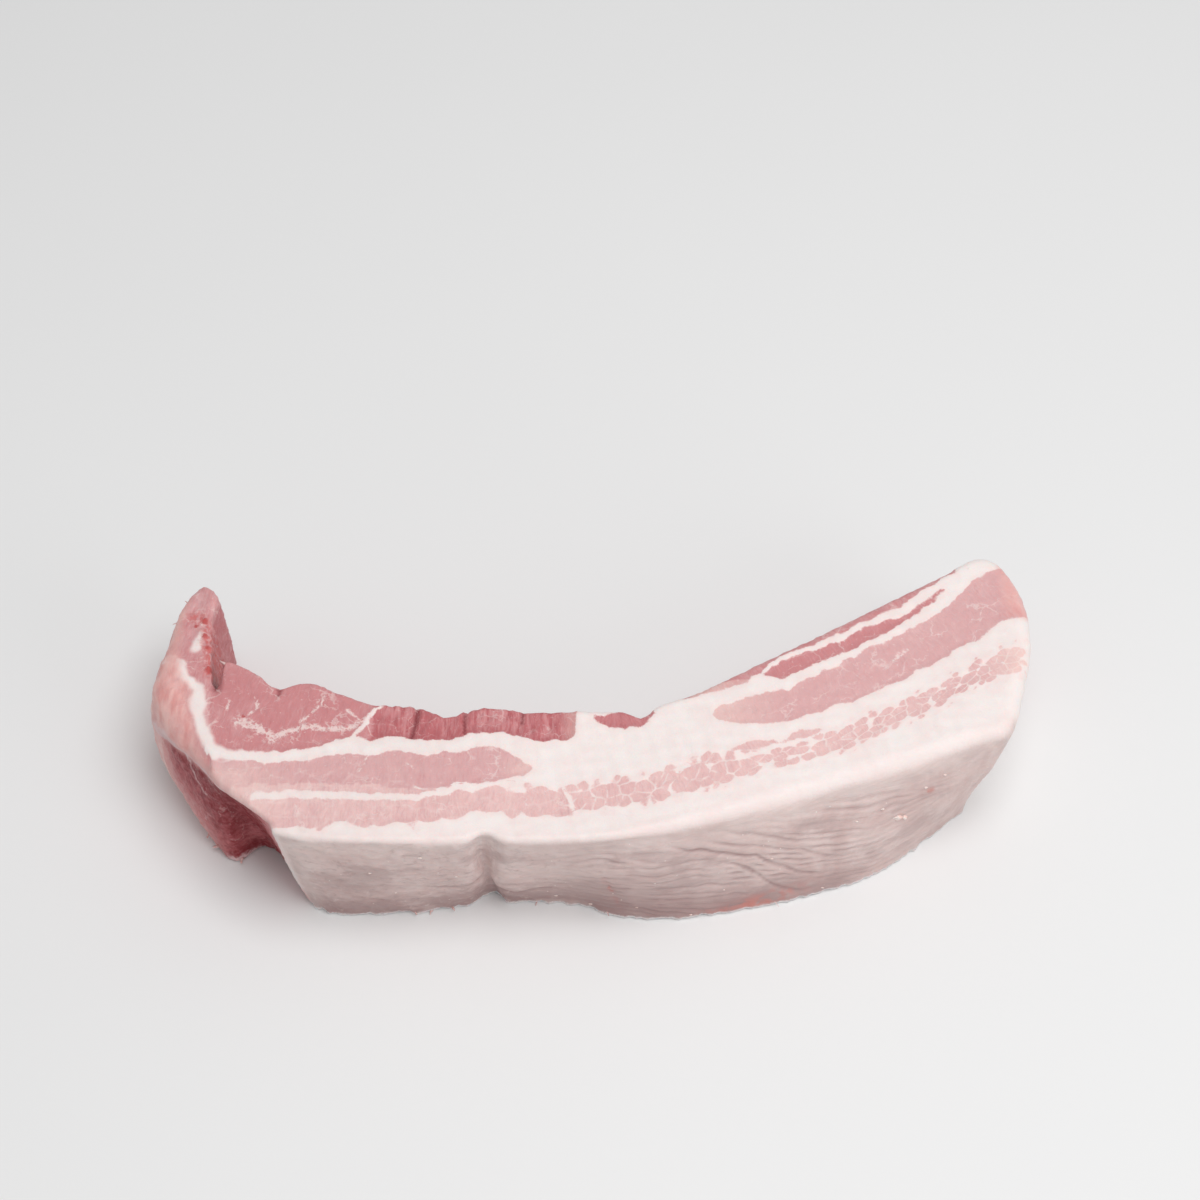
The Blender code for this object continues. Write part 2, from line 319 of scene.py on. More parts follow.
# Where the membrane of the loin end starts, and the middle of the strip from end to end.
FILM_LINE = [(-139, -4), (-139.6, -28), (-139.4, -44), (-136, -54), (-133.4, -60), (-133, -68), (-130.8, -76),
             (-127.6, -84), (-124, -92), (-119, -98), (-112, -105)]
SPINE = [(-150, -78), (-128, -82), (-100, -88), (-60, -91), (-20, -91), (10, -89.5), (35, -83), (60, -72.5),
         (90, -60), (120, -42), (146, -26)]


def near_line(x, y, points):
    """Distance from each place to a line through points, and the share of the line's length run there."""
    best = np.full(x.shape, 1e9)
    share = np.zeros(x.shape)
    total = sum(math.dist(a, b) for a, b in zip(points, points[1:]))
    done = 0.0
    for (ax, ay), (bx, by) in zip(points, points[1:]):
        long = math.hypot(bx - ax, by - ay)
        along = unit(((x - ax) * (bx - ax) + (y - ay) * (by - ay)) / long**2)
        gap = np.hypot(x - ax - along * (bx - ax), y - ay - along * (by - ay))
        closer = gap < best
        best = np.where(closer, gap, best)
        share = np.where(closer, (done + along * long) / total, share)
        done += long
    return best, share


def line_gap(x, y, points):
    """Distance from each place to a line through points."""
    return near_line(x, y, points)[0]


def waves(x, y, length, seed, count=14):
    """Smooth noise, mostly between -1 and 1: waves of about one length in seeded directions."""
    rng = np.random.default_rng(seed)
    total = np.zeros(x.shape)
    turns, phases = rng.uniform(0, 7, count), rng.uniform(0, 7, count)
    for turn, phase, stretch in zip(turns, phases, rng.uniform(0.7, 1.5, count)):
        k = 2 * math.pi / (length * stretch)
        total += np.sin(k * (x * math.cos(turn) + y * math.sin(turn)) + phase)
    return total / math.sqrt(count)


def layer_depth(x, y, layer):
    """How deep each place lies inside a lean layer: positive inside, in millimetres."""
    xs, low, high = np.array(layer, float).T
    low_here, high_here = np.interp(x, xs, low), np.interp(x, xs, high)
    slope = np.interp(x, (xs[1:] + xs[:-1]) / 2, np.diff(low) / np.diff(xs))
    across = np.minimum(y - low_here, high_here - y) / np.sqrt(1 + slope**2)
    ends = np.minimum(x - xs[0], xs[-1] - x) * 0.8
    return np.minimum(across, ends)


def what_is_here(x, y):
    """The make-up of the meat at each place of the cut face."""
    wx = x + 0.6 * waves(x, y, 11.0, 3) + 0.2 * waves(x, y, 4.0, 4)
    wy = y + 0.35 * waves(x, y, 9.0, 5) + 0.2 * waves(x, y, 3.6, 6)
    depth = np.full(x.shape, -40.0)
    tone = np.zeros(x.shape)
    lobules = np.zeros(x.shape)
    for layer, dark, broken in LAYERS:
        here = layer_depth(wx, wy, layer)
        deeper = here > depth
        tone = np.where(deeper, dark, tone)
        lobules = np.where(deeper, broken, lobules)
        depth = np.maximum(depth, here)
    # The lobe beyond the fat line is lean all the way to its skin of membrane.
    film_gap = line_gap(wx, wy, FILM_LINE)
    film_x, film_y = np.array(FILM_LINE).T
    beyond = wx < np.interp(-wy, -film_y, film_x)
    lobe = beyond | (wx < -128)
    tone = np.where(lobe & (depth < 3), 0.62, tone)
    lobules = np.where(lobe & (depth < 3), 0.0, lobules)
    depth = np.where(lobe, np.maximum(depth, np.minimum(film_gap + 1.2, 3.0)), depth)
    fat_gap = np.full(x.shape, 20.0)
    for half, taper, points in FAT_LINES:
        gap, share = near_line(wx, wy, points)
        fat_gap = np.minimum(fat_gap, gap - half * (1 - (1 - taper) * share**2))
    film = np.where(beyond, unit(film_gap / 3.0), 0.0)
    film = np.maximum(film, unit((x - 135.0) / 4.0) * unit((y + 28.0) / 3.0) * 0.8)
    streaky = layer_depth(x, y, STREAKY) > -1.5
    lobules = np.where(streaky, 0.28 + 0.72 * unit((x + 12.0) / 4.0), lobules)
    # The pale ends: meat that fades where it thins out.
    fading = [
        unit((x - 128.0) / 14.0) * unit((-y - 28.0) / 6.0) * 0.75,
        unit((x + 14.0) / 6.0) * unit((-4.0 - x) / 3.0) * (y > -80) * 0.45,
        unit((62.0 - x) / 22.0) * (x > 30) * (y > -74) * (y < -54) * 0.55,
        unit(1 - np.hypot((x + 24) / 9.0, (y + 89) / 6.0)) * 0.6,
        unit((-98 - x) / 22.0) * unit((-86 - y) / 5.0) * 0.45,
    ]
    return depth, fat_gap, tone, lobules, film, np.max(fading, axis=0)


# ------------------------------ the mesh


def inner_points(rim, step):
    """A staggered grid of points inside a rim, clear of the rim itself."""
    low, high = rim.min(0), rim.max(0)
    rows = np.arange(low[1], high[1], step * math.sqrt(3) / 2)
    columns = np.arange(low[0], high[0], step)
    x, y = np.meshgrid(columns, rows)
    x = x + (np.arange(len(rows)) % 2)[:, None] * step / 2
    x, y = x.ravel(), y.ravel()
    inside = np.zeros(x.shape, bool)
    nearest = np.full(x.shape, 1e9)
    for (ax, ay), (bx, by) in zip(rim, np.roll(rim, -1, 0)):
        if ay != by:
            crossing = (ay > y) != (by > y)
            inside ^= crossing & (ax + (y - ay) / (by - ay) * (bx - ax) > x)
        nearest = np.minimum(nearest, np.hypot(x - ax, y - ay))
    kept = inside & (nearest > RIM_CLEARANCE * step)
    return np.array([x[kept], y[kept]]).T


def face_fill(rim, inner):
    """Triangles between a rim and its inner points, numbered in that order."""
    places = [tuple(p) for p in np.vstack([rim, inner])]
    loop = [(n, (n + 1) % len(rim)) for n in range(len(rim))]
    _, _, faces, origins, _, _ = delaunay_2d_cdt(places, loop, [], 1, 1e-6)
    return [[origins[n][0] for n in face] for face in faces]


rows = even_steps(grooved(smooth_loop(STATIONS)), STEP_ROUND)
upper, lower = rows[:, :2], rows[:, :2] + rows[:, 2:4]
radius, bulge = rows[:, 4:5], rows[:, 5:6]
out = outward(rows)
count = len(rows)

# Where the rind is: from its corner at the loin end round to the teat end, as millimetres into it.
corner = int(np.argmin(np.hypot(*(upper - RIND_START).T)))
teat = int(np.argmin(np.hypot(*(upper - RIND_END).T)))
walk = np.concatenate([[0.0], np.cumsum(np.linalg.norm(np.roll(upper, -1, 0) - upper, axis=1))[:-1]])
girth = walk[-1] + STEP_ROUND
from_corner = (walk - walk[corner] + girth / 2) % girth - girth / 2
to_teat = (walk[teat] - walk + girth / 2) % girth - girth / 2
to_teat = np.where(to_teat < -200, 400.0, to_teat)
rind_row = np.where(upper[:, 1] < -60, np.minimum(from_corner, to_teat), -40.0)

# The rings of the wall from the rim down to the foot, where each looks up its layers, and how far down it is.
rings, ring_uv, ring_down = [], [], []
rim_height = top_height(*(upper - out * radius).T)[:, None]
foot_round = np.minimum(radius, FOOT_ROUND)
shoulder_turns = np.linspace(0.0, math.pi / 2, ARC_BANDS, endpoint=False)
foot_turns = np.linspace(0.0, math.pi / 2, FOOT_BANDS + 1)[1:]
for turn in shoulder_turns:
    plan = upper - out * radius * (1 - math.sin(turn))
    rings.append(np.hstack([plan, rim_height - radius * (1 - math.cos(turn))]))
    ring_uv.append(plan)
    ring_down.append(np.full(count, 0.02 * turn))
for down in np.linspace(0.0, 1.0, WALL_BANDS + 1):
    plan = upper + (lower - upper) * down + out * bulge * 4 * down * (1 - down)
    height = (rim_height - radius) * (1 - down) + foot_round * down
    rings.append(np.hstack([plan, height]))
    ring_uv.append(upper - out * 0.6)
    ring_down.append(np.full(count, 0.04 + 0.92 * down))
for turn in foot_turns:
    plan = lower - out * foot_round * (1 - math.cos(turn))
    rings.append(np.hstack([plan, foot_round * (1 - math.sin(turn))]))
    ring_uv.append(upper - out * 0.8)
    ring_down.append(np.full(count, 1.0))

wall, wall_uv, wall_down = np.array(rings), np.array(ring_uv), np.array(ring_down)
ring_count = len(rings)

top_inner = inner_points(wall[0][:, :2], STEP_TOP)
under_inner = inner_points(wall[-1][:, :2], STEP_UNDER)

# The lower cut face shows the same layers, moved as far as the walls lean.
pull = np.zeros((len(under_inner), 2))
weight = np.zeros(len(under_inner))
for n in range(0, count, 4):
    near = 1.0 / (np.hypot(*(under_inner - lower[n]).T) ** 3 + 1.0)
    pull += near[:, None] * (lower[n] - upper[n])
    weight += near
under_uv = under_inner - pull / weight[:, None]

places = np.vstack([
    wall.reshape(-1, 3),
    np.column_stack([top_inner, top_height(*top_inner.T)]),
    np.column_stack([under_inner, np.zeros(len(under_inner))]),
])
uv = np.vstack([wall_uv.reshape(-1, 2), top_inner, under_uv])
down = np.concatenate([wall_down.ravel(), np.zeros(len(top_inner)), np.full(len(under_inner), 1.0)])
# The points of the wall come first, then those of the upper cut face, then those of the lower one.
wall_n = ring_count * count
under_n = wall_n + len(top_inner)
is_wall = np.arange(len(places)) < wall_n
normal = np.zeros((len(places), 3))
outwards, upwards = np.ones(ring_count), np.zeros(ring_count)
outwards[:ARC_BANDS], upwards[:ARC_BANDS] = np.sin(shoulder_turns), np.cos(shoulder_turns)
outwards[-FOOT_BANDS:], upwards[-FOOT_BANDS:] = np.cos(foot_turns), -np.sin(foot_turns)
normal[:wall_n, :2] = (out[None, :, :] * outwards[:, None, None]).reshape(-1, 2)
normal[:wall_n, 2] = np.repeat(upwards, count)
normal[wall_n:under_n, 2] = 1.0
normal[under_n:, 2] = -1.0
normal_y = normal[:, 1]
around = np.concatenate([np.tile(walk, ring_count), np.zeros(len(places) - wall_n)])

# The layers wander a little on their way down.
drift = np.column_stack([waves(uv[:, 0], places[:, 2], 40, 21), waves(uv[:, 0], places[:, 2], 35, 22)])
drift_here = (1.3 + 3.2 * (normal_y > 0.3)) * down
u, v = (uv + drift_here[:, None] * drift).T
depth, fat_gap, tone, lobules, film, pale = what_is_here(u, v)

# Rind: on its own wall only, starting below the shoulder. Positive where there is rind, in millimetres.
rind = np.full(len(places), -20.0)
below_rim = wall[0, :, 2] - wall[:, :, 2]
rind_start = 0.3 * rows[:, 4] + 0.3
rind[:wall_n] = np.minimum(below_rim - rind_start, rind_row).ravel()
rind[wall_n - count : wall_n] = -1.0
skin_rim = wall[0][0:teat:8, :2]
rim_gap, rim_share = near_line(top_inner[:, 0], top_inner[:, 1], skin_rim.tolist())
rind[wall_n:under_n] = -rim_gap - np.interp(rim_share, [0.0, 0.45, 0.8, 1.0], [0.9, 1.2, 2.5, 2.2])

# The loin end's own wall is bare dark muscle, and on the lobe the membrane is thinner below the rim.
to_wall = unit((down - 0.02) / 0.08) * is_wall
loin_wall = unit((-64.0 - v) / 9.0) * unit((-103.5 - u) / 2.5) * to_wall
height_here = places[:, 2]
# The end wall is darker just below the rim, partly painted shade under the overhang and partly wetter meat,
# and paler lower down on its far side.
far_side = unit((v + 90.0) / 16.0)
wall_tone = 1.62 - 0.85 * far_side * unit((40.0 - height_here) / 26.0)
wall_tone -= 0.35 * bell(u + 123.0, 3.0) * bell(height_here - 11.0, 5.0)
wall_tone -= 0.8 * unit((u + 112.0) / 5.0)
tone = tone + (wall_tone - tone) * loin_wall
# Silver skin under the rim of the end wall, with one branch down it, and a torn hem at its foot.
silver_line = line_gap(v, height_here, SILVER_LINE)
branch = line_gap(v, height_here, SILVER_BRANCH)
hem_bits = bell(v + 90.0, 6.0) * unit((5.0 - height_here) / 3.0)
silver = np.maximum(bell(silver_line, 1.5), 0.6 * bell(branch, 0.8))
silver = np.maximum(silver, hem_bits) * unit((-56.0 - v) / 8.0)
silver *= (u < -104) * is_wall * (down > 0.03)
lobules = lobules * (1 - loin_wall)
film = film * (1 - loin_wall) * (1 - 0.3 * to_wall)
film = np.maximum(film, loin_wall * 0.5 * far_side * unit((30.0 - height_here) / 22.0))
# The wall of the lobe in the slit is raw, and the rib side keeps patches of membrane.
inner_lobe = unit((-123.0 - u) / 3.0) * unit((v + 58.0) / 4.0) * (u > -135.5) * to_wall
tone = tone + 0.4 * inner_lobe
rib_wall = unit((normal_y - 0.2) / 0.4) * to_wall * (u > -124)
veil = unit(0.45 + 0.8 * waves(u, 1.6 * height_here, 34, 71))
film = np.maximum(film, 0.6 * rib_wall * veil)
depth = np.where(loin_wall > 0.3, 4.0, depth)
fat_gap = np.where(loin_wall > 0.3, 20.0, fat_gap)
pale = pale * (1 - to_wall)
marble = np.zeros(len(places))
for spread, points in MARBLING:
    marble = np.maximum(marble, bell(line_gap(u, v, points), spread))
marble *= 1 - to_wall
cleft = np.zeros(len(places))
for half, points in CLEFTS:
    cleft = np.maximum(cleft, bell(line_gap(u, v, points), half))

# Lobule coordinates: the streaky layer unrolled, one unit to a lobule.
xs, low, high = np.array(STREAKY, float).T
table_x = np.linspace(-160, 160, 641)
wide = np.interp(table_x, [-40, -12, -4, 40, 56, 130], [8.0, 6.4, 4.8, 4.6, 5.0, 3.8])
cell_x = np.interp(u, table_x, np.cumsum(0.5 / wide))
tall = np.interp(u, [-40, -10, 38, 52, 130], [6.0, 4.8, 4.6, 2.7, 2.6])
slope = np.interp(u, [-40, 30, 60, 140], [0.0, 0.25, 0.4, 0.55])
level = 1 / np.sqrt(1 + slope**2)
cell_y = (v - np.interp(u, xs, (low + high) / 2)) * level / tall

blood = np.zeros(len(places))
for spot_x, spot_y, size in BLOOD:
    blood = np.maximum(blood, bell(np.hypot(u - spot_x, v - spot_y), size))
torn = bell(line_gap(u, v, TORN), 2.6) * (height_here > 20)

# Strip coordinates: along the spine, across it, and up.
gap, share = near_line(u, v, SPINE)
spine_length = sum(math.dist(a, b) for a, b in zip(SPINE, SPINE[1:]))
spine_y = np.interp(u, *np.array(SPINE).T)
along = share * spine_length
across = np.where(v > spine_y, gap, -gap)

# ------------------------------ relief

x, y, z = places.T
relief = np.zeros(len(places))
rind_on = unit(rind / 1.5)
lean_in = unit(np.minimum(depth, fat_gap) / 1.2)
relief -= lean_in * (0.10 + 0.35 * tone) * (1 - rind_on)
relief += 0.10 * waves(u, v + z, 5.0, 31) * (1 - rind_on)
relief += 0.07 * waves(u, v + z, 2.4, 32) * (0.4 + lean_in) * (1 - rind_on)
# The dark inner muscle is sunken and runs in cross bundles.
strip_in = unit(layer_depth(u, v, RIB_STRIP) / 3.0)
bundle = np.abs(np.sin((u + 0.25 * v) / 5.2 + 0.8 * waves(u, v, 30, 41))) ** 0.6
bundled = -1.2 + 1.1 * bundle + 0.22 * waves(u, 0.5 * v, 3.2, 42)
relief += strip_in * bundled * np.where(is_wall, 0.6, 1.0)
relief -= 0.9 * cleft * (1 - rind_on)
# Fibres of the bare end wall run down and back.
relief += 0.16 * loin_wall * waves(u, z, 9, 43) + 0.16 * loin_wall * waves(u, 0.4 * z, 3.4, 44)
relief += 0.5 * silver * (1 - 0.5 * (z < 6)) + 0.45 * torn * waves(u, v, 3.0, 45)

# The rind: the folds, and between them finer ones that run along it and slant down towards the teat end.
ripple_room = np.interp(x, [-100, -20, 8, 84, 116], [0.22, 0.3, 1.0, 0.9, 0.45])
level_line = z + 0.17 * np.clip(x - 8.0, 0.0, 84.0)
level_line += 1.3 * waves(around, z, 46, 51) + 0.35 * waves(around, z, 15, 52)
faint = np.clip(0.62 + 0.3 * waves(around, 2.0 * z, 60, 55), 0.25, 0.85)
wander_x = x + 0.8 * waves(x, z, 22, 60)
wander_z = z + 0.7 * waves(x, z, 26, 61) + 0.25 * waves(x, z, 9, 62)
fold = np.zeros(len(places))
fold_near = np.full(len(places), 99.0)
for size, half, points in FOLDS:
    gap, share = near_line(wander_x, wander_z, points)
    taper = unit(4.0 * share * (1 - share) * 1.6)
    fold = np.maximum(fold, size * taper * bell(gap, half))
    fold_near = np.minimum(fold_near, gap)
between = unit((fold_near - 0.8) / 1.6)
fine_fold = np.sin(np.pi * level_line / 2.7) ** 2
ripple_fade = unit((z - 1.0) / 3.0) * unit((HEIGHT - 2.0 - z) / 9.0)
ripple = np.maximum(fold, ripple_room * faint * between * fine_fold) * ripple_fade
relief -= rind_on * 0.6 * ripple
relief += rind_on * (0.35 * waves(around, z, 28, 56) + 0.10 * waves(around, z, 7, 57))
# The left half of the rind is rough, with short wrinkles.
rough_skin = unit((-2.0 - x) / 20.0)
wrinkles = 0.14 * waves(0.35 * around, z, 3.2, 63) + 0.10 * waves(around, 1.6 * z, 3.4, 64)
relief += rind_on * rough_skin * wrinkles
# The crease below the dent, and the scratch.
crease = bell(x + 36.8 + 0.10 * (z - 24), 1.5) * unit((HEIGHT - z) / 14.0)
relief -= 1.3 * rind_on * crease
scratch = bell(x - 3.4 + 0.28 * (z - 18), 0.7) * bell(z - 19.0, 8.0)
relief -= rind_on * 0.5 * scratch
# A ragged lower edge on the rind.
hem = rind_on * unit((5.0 - z) / 5.0)
relief += hem * (0.35 * waves(around, 0 * z, 11, 58) + 0.4 * waves(around, 0 * z, 3.4, 59) + 0.5)
bruise = bell(x - 50.0, 16.0) * bell(z - 3.5 - 0.16 * (x - 50.0), 3.4)
bruise = np.maximum(bruise, 0.9 * scratch)
bruise = np.maximum(bruise, 0.8 * bell(x - 108.0, 2.2) * bell(z - 33.0, 1.3))

places = places + normal * relief[:, None]
places[:, 2] = np.maximum(places[:, 2], 0.0)
places[under_n:, 2] = 0.0
places[wall_n - count : wall_n, 2] = 0.0

# ------------------------------ mesh data

last_ring = wall_n - count
faces = []
for start in range(0, last_ring, count):
    a = start + np.arange(count)
    b = start + (np.arange(count) + 1) % count
    faces += np.column_stack([a, a + count, b + count, b]).tolist()
top_ids = np.concatenate([np.arange(count), wall_n + np.arange(len(top_inner))])
under_ids = np.concatenate([last_ring + np.arange(count), under_n + np.arange(len(under_inner))])
faces += [[int(top_ids[n]) for n in face] for face in face_fill(wall[0][:, :2], top_inner)]
faces += [[int(under_ids[n]) for n in face[::-1]] for face in face_fill(wall[-1][:, :2], under_inner)]

middle = (wall.reshape(-1, 3).min(0) + wall.reshape(-1, 3).max(0)) / 2
box_low, box_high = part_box(NODE)
centre = [(a + b) / 2 for a, b in zip(box_low, box_high)]
SHIFT = np.array([centre[0] / MM - middle[0], centre[1] / MM - middle[1], 0.0])
mesh = bpy.data.meshes.new("belly")
mesh.from_pydata(((places + SHIFT) * MM).tolist(), [], faces)
mesh.update()
mesh.shade_smooth()

# What each vertex carries to the material: x, y, z here are the places before the relief.
CARRIED = dict(
    lean=depth, fat_gap=fat_gap, tone=tone, lobules=lobules, film=film, pale=pale, rind=rind,
    marble=marble, blood=blood, torn=torn, end_wall=loin_wall, silver=silver,
    calm=unit((-108.0 - u) / 14.0),
    # The height that the painted shade low on the rind follows, raised towards the teat end so that side is
    # painted lighter.
    shade_height=z + 16.0 * unit((x - 50.0) / 45.0),
    bundles=strip_in * (1.2 - bundle),
    cleft=cleft, ripple=ripple * rind_on, rough_skin=rough_skin, bruise=bruise, foot=z,
)
for name, values in CARRIED.items():
    layer = mesh.attributes.new(name, "FLOAT", "POINT")
    layer.data.foreach_set("value", np.asarray(values, np.float32))
for name, columns in (("cells", [cell_x, cell_y, z * 0.1]), ("strip", [along, across, z])):
    layer = mesh.attributes.new(name, "FLOAT_VECTOR", "POINT")
    layer.data.foreach_set("vector", np.column_stack(columns).astype(np.float32).ravel())


def put_in_scene(name, data):
    thing = bpy.data.objects.new(name, data)
    bpy.context.scene.collection.objects.link(thing)
    return thing


belly = put_in_scene("belly", mesh)
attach(belly, "root")
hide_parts(NODE)

# ------------------------------ the material


def srgb(r, g, b):
    """A colour as seen on screen, 0 to 255 but not near black, as linear light."""
    return tuple(((c / 255 + 0.055) / 1.055) ** 2.4 for c in (r, g, b)) + (1.0,)


class Nodes:
    """Short ways to write a node tree."""

    def __init__(self, name):
        self.material = bpy.data.materials.new(name)
        self.material.use_nodes = True
        self.tree = self.material.node_tree
        self.tree.nodes.clear()

    def add(self, kind, **settings):
        node = self.tree.nodes.new(kind)
        for key, value in settings.items():
            setattr(node, key, value)
        return node

    def put(self, socket, value):
        if isinstance(value, bpy.types.NodeSocket):
            self.tree.links.new(value, socket)
        else:
            socket.default_value = value

    def fill(self, node, inputs):
        for name, value in inputs.items():
            self.put(node.inputs[name], value)
        return node

    def math(self, how, *values):
        node = self.add("ShaderNodeMath", operation=how)
        for socket, value in zip(node.inputs, values):
            self.put(socket, value)
        return node.outputs[0]

    def plus(self, a, b):
        return self.math("ADD", a, b)

    def times(self, a, b):
        return self.math("MULTIPLY", a, b)

    def line(self, value, slope, offset):
        """The value times a slope, plus an offset."""
        return self.math("MULTIPLY_ADD", value, slope, offset)

    def swing(self, noise, amount):
        """A noise value as a swing of half the amount either way."""
        return self.line(noise, amount, -amount / 2)

    def attribute(self, name, output="Fac"):
        return self.add("ShaderNodeAttribute", attribute_name=name).outputs[output]

    def scaled(self, vector, scale):
        node = self.fill(self.add("ShaderNodeMapping"), {"Vector": vector, "Scale": scale})
        return node.outputs[0]

    def noise(self, vector, scale, detail=3.0, rough=0.5, output="Fac"):
        inputs = {"Vector": vector, "Scale": scale, "Detail": detail, "Roughness": rough}
        return self.fill(self.add("ShaderNodeTexNoise"), inputs).outputs[output]

    def voronoi(self, vector, scale, feature="F1", random=1.0, flat=False):
        dimensions = "2D" if flat else "3D"
        node = self.add("ShaderNodeTexVoronoi", feature=feature, voronoi_dimensions=dimensions)
        self.fill(node, {"Vector": vector, "Scale": scale, "Randomness": random})
        return node.outputs["Distance"]

    def ramp(self, value, low, high, out_low=0.0, out_high=1.0):
        node = self.add("ShaderNodeMapRange", interpolation_type="SMOOTHSTEP", clamp=True)
        self.fill(node, {"Value": value, "From Min": low, "From Max": high})
        self.fill(node, {"To Min": out_low, "To Max": out_high})
        return node.outputs[0]

    def mix(self, share, a, b):
        """The first colour with a share of the second over it."""
        node = self.add("ShaderNodeMix", data_type="RGBA")
        return self.fill(node, {0: share, 6: a, 7: b}).outputs[2]

    def coated(self, colour, coats):
        """The colour under coats, each its share and its own colour."""
        for share, coat in coats:
            colour = self.mix(share, colour, srgb(*coat))
        return colour

    def shift(self, vector, by, amount):
        """The vector moved about by a noise colour."""
        node = self.add("ShaderNodeVectorMath", operation="MULTIPLY_ADD")
        return self.fill(node, {0: by, 1: (amount, amount, amount), 2: vector}).outputs[0]

    def finish(self, inputs):
        """The material, once its shader has these inputs."""
        shader = self.fill(self.add("ShaderNodeBsdfPrincipled"), inputs)
        self.fill(self.add("ShaderNodeOutputMaterial"), {"Surface": shader.outputs[0]})
        return self.material


class BellyNodes(Nodes):
    """Lean, fat, membrane and rind, from what each vertex carries."""

    def __init__(self):
        super().__init__("streaky_pork")
        self.strip = self.attribute("strip", "Vector")
        self.tone = self.attribute("tone")
        self.rind = self.attribute("rind")
        self.lobules = self.attribute("lobules")
        self.calm = self.attribute("calm")
        cell_warp = self.noise(self.strip, 0.25, 2.0, 0.5, "Color")
        self.cells = self.shift(self.attribute("cells", "Vector"), cell_warp, 0.35)
        self.wobble = self.grain(0.42, 3.0, 0.55)
        self.fine = self.grain(1.6, 2.0, 0.6)
        self.fibre = self.grain(1.0, 4.0, 0.62, (1.5, 0.22, 0.4), (0.15, 4.0))
        self.pores = self.voronoi(self.scaled(self.strip, (0.45, 0.45, 0.55)), 1.0)
        self.lines = self.grain(1.0, 3.0, 0.6, (0.06, 0.3, 0.95), (0.08, 5.0))

    def grain(self, scale, detail=3.0, rough=0.5, stretch=None, warp=None):
        """Noise over the strip, stretched, and warped by a wider noise with its own scale and amount."""
        place = self.strip
        if warp:
            wide, amount = warp
            place = self.shift(place, self.noise(place, wide, 2.0, 0.5, "Color"), amount)
        if stretch:
            place = self.scaled(place, stretch)
        return self.noise(place, scale, detail, rough)


def into_lean(n):
    """How far inside the lean each place is, after the ragged edges and the lobules."""
    ragged = n.plus(n.swing(n.wobble, 1.5), n.swing(n.fine, 0.8))
    ragged = n.times(ragged, n.line(n.calm, -0.6, 1.0))
    edge = n.plus(n.attribute("lean"), ragged)
    # Lobules are rounded cells. They bulge along the layer's edges, run together inside it where it is
    # solid, and elsewhere stand apart with fat between them.
    from_middle = n.voronoi(n.cells, 1.0, random=0.9, flat=True)
    streaky = n.ramp(n.lobules, 0.0, 0.25)
    scallop = n.times(n.math("SUBTRACT", 0.44, from_middle), n.times(streaky, 3.6))
    bulging = n.plus(n.times(edge, n.line(streaky, -0.25, 1.0)), scallop)
    apart = n.ramp(n.grain(0.2, 2.0, 0.6), 0.42, 0.66)
    apart = n.math("MAXIMUM", apart, n.ramp(edge, 0.0, 2.6, 0.55, 0.0))
    apart = n.times(apart, n.ramp(n.lobules, 0.25, 0.9))
    lobule = n.line(n.math("SUBTRACT", 0.50, from_middle), 5.0, n.line(apart, -2.0, 2.2))
    lobule = n.plus(lobule, n.swing(n.fine, 0.8))
    lobule = n.math("MAXIMUM", lobule, n.line(streaky, -40.0, 30.0))
    inside = n.math("MINIMUM", bulging, lobule)
    return n.math("MINIMUM", inside, n.plus(n.attribute("fat_gap"), ragged))


def threads(n):
    """Threads, specks and veins of fat in the lean, the seams between lobules, and painted glints of
    moisture.
    """
    place = n.shift(n.strip, n.noise(n.strip, 0.22, 3.0, 0.6, "Color"), 7.0)
    web = n.voronoi(n.scaled(place, (0.10, 0.22, 0.08)), 1.0, "DISTANCE_TO_EDGE")
    web = n.times(n.ramp(web, 0.0, 0.045, 1.0, 0.0), n.ramp(n.grain(0.13, 2.0), 0.47, 0.62))
    specks = n.ramp(n.grain(1.1, 2.0, 0.5, (1.0, 0.5, 0.6)), 0.66, 0.76)
    found = n.math("MAXIMUM", n.times(web, 0.55), n.times(specks, 0.35))

    seam = n.voronoi(n.cells, 1.0, "DISTANCE_TO_EDGE", random=0.9, flat=True)
    seam = n.ramp(n.times(seam, 4.4), 0.08, 0.5, 1.0, 0.0)
    shows = n.ramp(n.grain(0.3, 2.0), 0.38, 0.56)
    shows = n.times(shows, n.ramp(n.lobules, 0.1, 0.6, 0.0, 0.8))
    found = n.math("MAXIMUM", found, n.times(seam, shows))

    ridge = n.math("SUBTRACT", n.grain(0.55, 4.0, 0.62, (0.9, 1.0, 0.4)), 0.5)
    clump = n.line(n.grain(0.5, 2.0), 1.1, -0.62)
    vein = n.plus(n.line(n.math("ABSOLUTE", ridge), -4.5, n.attribute("marble")), clump)
    found = n.math("MAXIMUM", found, n.ramp(vein, 0.1, 0.75, 0.0, 0.9))

    # Painted highlights: small glints of moisture put into the colour as near-white dots.
    painted_glints = n.ramp(n.voronoi(n.shift(n.strip, n.fine, 0.8), 0.42), 0.05, 0.13, 1.0, 0.0)
    painted_glints = n.times(painted_glints, n.ramp(n.grain(0.35, 2.0), 0.5, 0.62, 0.0, 0.6))
    return n.math("MAXIMUM", found, painted_glints)


